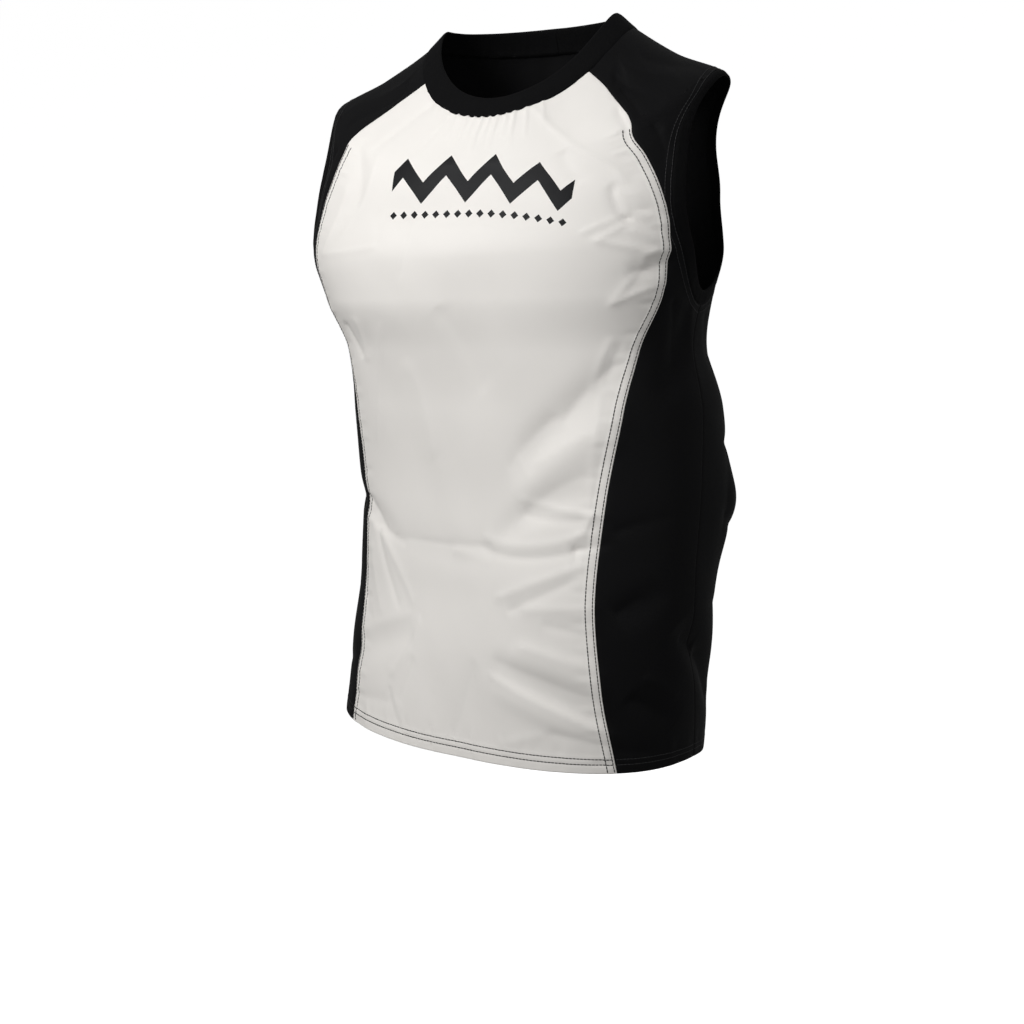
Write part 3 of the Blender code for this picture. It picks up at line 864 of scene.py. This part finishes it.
# %% Set stitches along a row
def stitch_places(points, outward):
    """Centres and axes of stitches at an even pitch along a line of points."""
    distance = running_length(points, 0)
    count = int(distance[-1] // STITCH_PITCH)
    at = (np.arange(count) + 0.5) * STITCH_PITCH

    def sample(values, where):
        return np.stack([np.interp(where, distance, values[:, k]) for k in range(3)], axis=-1)

    centre = sample(points, at)
    along = unit(sample(points, at + DIRECTION_REACH) - sample(points, at - DIRECTION_REACH))
    out = unit(sample(outward, at))
    return centre, np.stack([along, unit(np.cross(out, along)), out], axis=1)


def sew(name, lines, thread_width):
    """One mesh of all the stitches along several lines of (points, outward directions)."""
    size = STITCH_POINTS * (STITCH_LENGTH, thread_width, THREAD)
    places = [stitch_places(*line) for line in lines]
    copies = np.concatenate([centre[:, None] + size @ axes for centre, axes in places])
    faces = STITCH_FACES + np.arange(len(copies))[:, None, None] * len(STITCH_POINTS)
    mesh = bpy.data.meshes.new(name)
    mesh.from_pydata((copies * MM).reshape(-1, 3).tolist(), [], faces.reshape(-1, 4).tolist())
    mesh.shade_smooth()
    print(name + ":", len(copies), "stitches")
    return add_object(name, mesh)


# %% Find the cloth under a line
def settle_on(piece, points, outward):
    """Moves each point along its outward direction to the outer face of the piece's cloth."""
    tree = BVHTree.FromObject(piece, bpy.context.evaluated_depsgraph_get())
    settled = points.copy()
    for index, (point, out) in enumerate(zip(points, outward)):
        direction = Vector(out)
        start = (Vector(point) + direction * SEARCH) * MM
        place = tree.ray_cast(start, -direction, 2 * SEARCH * MM)[0]
        if place is not None:
            settled[index] = np.array(place) / MM
    return settled + outward * THREAD_SINK


# %% Lines of stitches on the white front
LINE_POINTS = 900
ARMHOLE_POINTS = 1500
ARMHOLE_STITCHES = (2.0, 7.0)
CORNER_GAP = 0.4
DARK_THREAD_WIDTH = 0.74
BLACK_THREAD_WIDTH = 0.55


def stitch_line(piece, angle, at):
    """Points on the outer face of a piece along angles and levels, and the directions outward."""
    outward = surface_normal(angle, at)
    points = place_on_cloth(angle, at, cloth_height(angle, at, piece is front))
    return settle_on(piece, points, outward), outward


def line_beside_seam(left_side, distance):
    """Along a side seam of the white front, from the hem up to the kink."""
    at = np.linspace(HEM_LEVEL + 1, KINK_LEVEL, LINE_POINTS)
    right, left = front_seams_at(at)
    seam, inward = (left, -1) if left_side else (right, 1)
    per_degree = np.linalg.norm(step_round(seam, at), axis=-1)
    return stitch_line(front, seam + inward * distance / per_degree, at)


def line_above_hem(piece, distance, start, end):
    angle = np.linspace(start, end, LINE_POINTS)
    return stitch_line(piece, angle, np.full_like(angle, HEM_LEVEL + distance))


right_corner, left_corner = front_seams_at(HEM_LEVEL + HEM_STITCHES[0])
white_lines = [line_beside_seam(left_side, distance) for left_side in (True, False)
               for distance in (OUTER_STITCH, SEAM_STRIP_WIDTH)]
white_lines += [line_above_hem(front, distance, right_corner + CORNER_GAP,
                               left_corner - CORNER_GAP) for distance in HEM_STITCHES]
white_stitches = sew("front_stitches", white_lines, DARK_THREAD_WIDTH)


# %% Lines of stitches on the black cloth
def line_round_armhole(distance, mirror):
    turns = np.linspace(0, 1, ARMHOLE_POINTS)
    angle, at = armhole_line(turns, -distance)
    angle = angle * mirror
    in_front = turns < 0.5
    side = side_left if mirror > 0 else side_right
    halves = (stitch_line(side, angle[in_front], at[in_front]),
              stitch_line(back, angle[~in_front], at[~in_front]))
    return [np.concatenate(parts) for parts in zip(*halves)]


black_lines = [line_round_armhole(distance, mirror) for mirror in (1, -1)
               for distance in ARMHOLE_STITCHES]
for distance in HEM_STITCHES:
    black_lines += [line_above_hem(side_left, distance, left_corner + CORNER_GAP, SIDE_SEAM),
                    line_above_hem(back, distance, SIDE_SEAM, 360 - SIDE_SEAM),
                    line_above_hem(side_right, distance, -SIDE_SEAM, right_corner - CORNER_GAP)]
black_stitches = sew("black_stitches", black_lines, BLACK_THREAD_WIDTH)

# %% [markdown]
# Step 10: finishes. The front is a dense white weave with a faint sheen, the rest a matt black
# stretch knit. Each material is its own Principled shader. What they share, a weave and a slow
# mottling of tone, is built once as a node group that is given its own values in each.


# %% Helpers for node groups
FLOAT, COLOUR, VECTOR = "NodeSocketFloat", "NodeSocketColor", "NodeSocketVector"


def new_group(name, inputs, outputs):
    """A group with named sockets of these kinds."""
    group = bpy.data.node_groups.new(name, "ShaderNodeTree")
    for in_out, sockets in (("INPUT", inputs), ("OUTPUT", outputs)):
        for label, kind in sockets.items():
            group.interface.new_socket(label, in_out=in_out, socket_type=kind)
    entry = group.nodes.new("NodeGroupInput")
    return group, entry.outputs, group.nodes.new("NodeGroupOutput")


def set_inputs(node, values):
    """Sets each named input of a node, or links it where its value comes from another node."""
    for label, value in values.items():
        if isinstance(value, bpy.types.NodeSocket):
            node.id_data.links.new(value, node.inputs[label])
        else:
            node.inputs[label].default_value = value
    return node


def maths(tree, operation, first, second=None, third=None):
    node = tree.nodes.new("ShaderNodeMath")
    node.operation = operation
    for socket, value in zip(node.inputs, (first, second, third)):
        if value is None:
            continue
        if isinstance(value, (int, float)):
            socket.default_value = value
        else:
            tree.links.new(value, socket)
    return node.outputs[0]


# %% Two patterns of thread
LOOP_SLANT = 1.6
LOOP_GROOVE = 1.2


def new_pattern(name):
    """A group that turns a place in metres and a count per metre into a height."""
    group, given, exit_node = new_group(name, {"Vector": VECTOR, "Per metre": FLOAT},
                                        {"Height": FLOAT})
    calc = partial(maths, group)
    split = set_inputs(group.nodes.new("ShaderNodeSeparateXYZ"), {"Vector": given["Vector"]})
    across, up = [calc("MULTIPLY", split.outputs[axis], given["Per metre"])
                  for axis in ("X", "Y")]
    return group, calc, across, up, exit_node


def make_weave_group():
    """A plain weave: warp over weft, one thread beside the next."""
    group, calc, across, up, exit_node = new_pattern("plain weave")
    warp = calc("SINE", calc("MULTIPLY", across, math.pi))
    weft = calc("SINE", calc("MULTIPLY", up, math.pi))
    height = calc("MULTIPLY_ADD", calc("MULTIPLY", warp, weft), 0.5, 0.5)
    set_inputs(exit_node, {"Height": height})
    return group


def make_knit_group():
    """A fine knit: columns of small V shaped loops."""
    group, calc, across, up, exit_node = new_pattern("fine knit")
    leg = calc("PINGPONG", across, 0.5)
    slanted = calc("ADD", calc("MULTIPLY", leg, LOOP_SLANT), up)
    loops = calc("SINE", calc("MULTIPLY", slanted, 2 * math.pi))
    groove = calc("MULTIPLY", leg, LOOP_GROOVE)
    height = calc("ADD", calc("MULTIPLY_ADD", loops, 0.25, 0.3), groove)
    set_inputs(exit_node, {"Height": height})
    return group


# %% Slow mottling of tone and roughness
def make_mottle_group():
    group, given, exit_node = new_group(
        "cloth mottling",
        {"Vector": VECTOR, "Colour": COLOUR, "Tone": FLOAT, "Roughness": FLOAT, "Spread": FLOAT},
        {"Colour": COLOUR, "Roughness": FLOAT})
    calc = partial(maths, group)
    noise = set_inputs(group.nodes.new("ShaderNodeTexNoise"), {
        "Vector": given["Vector"], "Scale": 9.0, "Detail": 5.0, "Roughness": 0.6})
    centred = calc("SUBTRACT", noise.outputs["Fac"], 0.5)
    tone = calc("MULTIPLY_ADD", centred, given["Tone"], 1.0)
    shade = group.nodes.new("ShaderNodeVectorMath")
    shade.operation = "SCALE"
    set_inputs(shade, {"Vector": given["Colour"], "Scale": tone})
    rough = calc("MULTIPLY_ADD", centred, given["Spread"], given["Roughness"])
    set_inputs(exit_node, {"Colour": shade.outputs[0], "Roughness": rough})
    return group


WEAVE = make_weave_group()
KNIT = make_knit_group()
MOTTLE = make_mottle_group()
print("groups:", WEAVE.name, KNIT.name, MOTTLE.name)


# %% The base of every material
def new_material(name):
    material = bpy.data.materials.new(name)
    material.use_nodes = True
    tree = material.node_tree
    return material, tree, tree.nodes["Principled BSDF"]


def place_group(tree, group, values):
    node = tree.nodes.new("ShaderNodeGroup")
    node.node_tree = group
    return set_inputs(node, values)


def add_mottle(tree, colour, tone, roughness, spread):
    place = tree.nodes.new("ShaderNodeTexCoord")
    return place_group(tree, MOTTLE, {
        "Vector": place.outputs["Object"], "Colour": colour, "Tone": tone,
        "Roughness": roughness, "Spread": spread})


# %% [markdown]
# The chest carries a plain printed ornament in black: a zigzag band over a row of small
# diamonds. It is drawn by a few Math nodes from the UV map, which is in metres, so its edges stay
# sharp at any distance and it bends with every fold.

# %% The print's mask
PRINT_CENTRE = (0.012, 0.525)
PRINT_HALF_WIDTH = 0.086
ZIGZAG_PERIOD = 0.0215
ZIGZAG_HEIGHT = 0.025
ZIGZAG_HALF_STROKE = 0.0095
DIAMOND_PITCH = 0.01075
DIAMOND_REACH = 0.0036
DIAMOND_DROP = 0.0315


def print_mask(tree, uv):
    calc = partial(maths, tree)
    split = set_inputs(tree.nodes.new("ShaderNodeSeparateXYZ"), {"Vector": uv})
    across = calc("SUBTRACT", split.outputs["X"], PRINT_CENTRE[0])
    up = calc("SUBTRACT", split.outputs["Y"], PRINT_CENTRE[1])
    shifted = calc("ADD", across, 1.0)
    fold = calc("PINGPONG", shifted, ZIGZAG_PERIOD)
    line = calc("MULTIPLY_ADD", fold, ZIGZAG_HEIGHT / ZIGZAG_PERIOD, -ZIGZAG_HEIGHT / 2)
    band = calc("LESS_THAN", calc("ABSOLUTE", calc("SUBTRACT", up, line)), ZIGZAG_HALF_STROKE)
    inside = calc("LESS_THAN", calc("ABSOLUTE", across), PRINT_HALF_WIDTH)
    beat = calc("PINGPONG", shifted, DIAMOND_PITCH)
    spot = calc("ABSOLUTE", calc("SUBTRACT", beat, DIAMOND_PITCH / 2))
    drop = calc("ABSOLUTE", calc("ADD", up, DIAMOND_DROP))
    diamond = calc("LESS_THAN", calc("ADD", spot, drop), DIAMOND_REACH)
    return calc("MULTIPLY", calc("MAXIMUM", band, diamond), inside)


# %% The three cloths
INK = (0.004, 0.004, 0.005, 1)
Cloth = namedtuple("Cloth", "colour tone roughness spread sheen sheen_roughness specular "
                            "pattern per_metre bump bump_depth")
WINDPROOF = Cloth((0.79, 0.765, 0.73, 1), 0.08, 0.52, 0.15, 0.03, 0.4, 0.15,
                  WEAVE, 2200.0, 0.35, 0.00008)
STRETCH = Cloth((0.0030, 0.0030, 0.0034, 1), 0.5, 0.62, 0.2, 0.003, 0.35, 0.09,
                KNIT, 1300.0, 0.4, 0.00012)
BINDING = Cloth((0.0028, 0.0028, 0.0031, 1), 0.4, 0.75, 0.15, 0.002, 0.5, 0.07,
                KNIT, 900.0, 0.5, 0.0002)


def make_cloth(name, cloth, printed=False):
    material, tree, shader = new_material(name)
    uv_map = tree.nodes.new("ShaderNodeUVMap")
    uv_map.uv_map = "UVMap"
    uv = uv_map.outputs["UV"]
    mottle = add_mottle(tree, cloth.colour, cloth.tone, cloth.roughness, cloth.spread)
    colour = mottle.outputs["Colour"]
    if printed:
        ink = tree.nodes.new("ShaderNodeMix")
        ink.data_type = "RGBA"
        set_inputs(ink, {"Factor": print_mask(tree, uv), "A": colour, "B": INK})
        colour = ink.outputs["Result"]
    pattern = place_group(tree, cloth.pattern, {"Vector": uv, "Per metre": cloth.per_metre})
    bump = set_inputs(tree.nodes.new("ShaderNodeBump"), {
        "Strength": cloth.bump, "Distance": cloth.bump_depth, "Height": pattern.outputs["Height"]})
    set_inputs(shader, {
        "Base Color": colour, "Roughness": mottle.outputs["Roughness"],
        "Sheen Weight": cloth.sheen, "Sheen Roughness": cloth.sheen_roughness,
        "Specular IOR Level": cloth.specular, "Normal": bump.outputs["Normal"]})
    return material


white_windproof = make_cloth("white windproof weave", WINDPROOF, printed=True)
black_stretch = make_cloth("black stretch knit", STRETCH)
black_binding = make_cloth("black binding", BINDING)


# %% Twisted sewing thread
def make_thread(name, colour):
    material, tree, shader = new_material(name)
    mottle = add_mottle(tree, colour, 0.5, 0.6, 0.2)
    set_inputs(shader, {"Base Color": mottle.outputs["Colour"],
                        "Roughness": mottle.outputs["Roughness"]})
    return material


dark_thread = make_thread("dark thread", (0.009, 0.009, 0.011, 1))
black_thread = make_thread("black thread", (0.007, 0.007, 0.008, 1))


def finish_as(material, *pieces):
    for piece in pieces:
        piece.data.materials.append(material)


finish_as(white_windproof, front)
finish_as(black_stretch, side_left, side_right, back)
finish_as(black_binding, neck, *armhole_bindings)
finish_as(dark_thread, white_stitches)
finish_as(black_thread, black_stitches)
print("materials:", len(bpy.data.materials))

# %% [markdown]
# Step 11: every piece rides on the one body and stands for its solid, which is hidden. Each row
# also lists a record slot and what the panel was cut to before it was sewn; nothing reads these.

# %% Ride on the body and hide the solids; slots and cut sizes are only listed
left_binding, right_binding = armhole_bindings
PieceFacts = namedtuple("PieceFacts", "piece node slot width length area neighbours")
PIECES = table(PieceFacts, [
    (front, "front_panel", "white_windproof", 0.385, 0.675, 0.190, [side_left, side_right, neck]),
    (side_left, "front_side_left", "black_stretch", 0.120, 0.780, 0.053, [front, back, neck]),
    (side_right, "front_side_right", "black_stretch", 0.110, 0.780, 0.050, [front, back, neck]),
    (back, "back_panel", "black_stretch", 0.540, 0.700, 0.310, [side_left, side_right, neck]),
    (neck, "neck_band", "black_binding", 0.570, 0.044, None, [back]),
    (left_binding, "armhole_band_left", "black_binding", 0.530, 0.024, None, [side_left]),
    (right_binding, "armhole_band_right", "black_binding", 0.530, 0.024, None, [side_right]),
])
for facts in PIECES:
    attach(facts.piece, "root")
    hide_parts(facts.node)
    area = sum(face.area for face in facts.piece.data.polygons) / 2
    print(facts.piece.name, "cloth", round(area, 4), "square metres")
for piece, slot_name in ((white_stitches, "white_windproof"), (black_stitches, "black_stretch")):
    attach(piece, "root")

# %% [markdown]
# Step 12: the studio. A pale floor far below rises softly into a pale backdrop all round, and
# wide lights leave only soft shadows. The camera stands where the photograph was taken from.

# %% Floor and backdrop in one
FLOOR_LEVEL = -1.45
FLAT_RADIUS = 2.2
BACKDROP_RISE = 0.09
bpy.ops.mesh.primitive_grid_add(x_subdivisions=64, y_subdivisions=64, size=24)
floor = bpy.context.object
floor.name = "studio_floor"
for vert in floor.data.vertices:
    radius = math.hypot(vert.co.x, vert.co.y)
    vert.co.z = FLOOR_LEVEL + max(0.0, radius - FLAT_RADIUS) ** 2 * BACKDROP_RISE
floor.data.shade_smooth()
paper, _, paper_shader = new_material("studio paper")
set_inputs(paper_shader, {
    "Base Color": (0.93, 0.93, 0.93, 1), "Roughness": 0.9,
    "Emission Color": (1, 1, 1, 1), "Emission Strength": 0.78})
finish_as(paper, floor)
floor.visible_shadow = floor.visible_diffuse = floor.visible_glossy = False

# %% Lights
world = bpy.data.worlds.new("studio")
bpy.context.scene.world = world
world.use_nodes = True
set_inputs(world.node_tree.nodes["Background"], {"Color": (1, 1, 1, 1), "Strength": 0.22})


def add_light(name, place, aim, size, power):
    data = bpy.data.lights.new(name, "AREA")
    data.shape = "SQUARE"
    data.size = size
    data.energy = power
    light = add_object(name, data)
    light.location = place
    light.rotation_euler = (Vector(aim) - Vector(place)).to_track_quat("-Z", "Y").to_euler()


add_light("key", (-0.54, -1.28, 0.53), (0, 0, -0.12), 0.7, 20.5)
add_light("fill", (2.4, -1.6, 0.5), (0, 0, -0.2), 1.6, 14)
add_light("top", (0.2, 1.1, 1.7), (0, 0, -0.2), 1.2, 2)
add_light("back", (-1.3, 2.3, -0.1), (0, 0, -0.35), 1.2, 40)

# %% Camera
AZIMUTH, LOOK_DOWN, ROLL = 23.69, 6.43, 0.42
ASIDE, DISTANCE, HEIGHT = -0.0089, 1.5168, -0.2711
FOCAL_PIXELS = 1645.4
FRAME_PIXELS = 1024.0
lens = bpy.data.cameras.new("photo view")
lens.sensor_width = 36.0
lens.lens = FOCAL_PIXELS / FRAME_PIXELS * lens.sensor_width
lens.clip_start = 0.05
turn = Matrix.Rotation(math.radians(AZIMUTH), 4, "Z")
place = Matrix.Translation((ASIDE, -DISTANCE, HEIGHT))
tilt = Matrix.Rotation(math.radians(90 - LOOK_DOWN), 4, "X")
roll = Matrix.Rotation(math.radians(ROLL), 4, "Z")
camera = add_object("photo view", lens)
camera.matrix_world = turn @ place @ tilt @ roll
bpy.context.scene.camera = camera
print("lens:", round(lens.lens, 2), "mm")
bpy.context.scene.view_settings.view_transform = "Standard"

# %% Finish
bpy.context.view_layer.update()
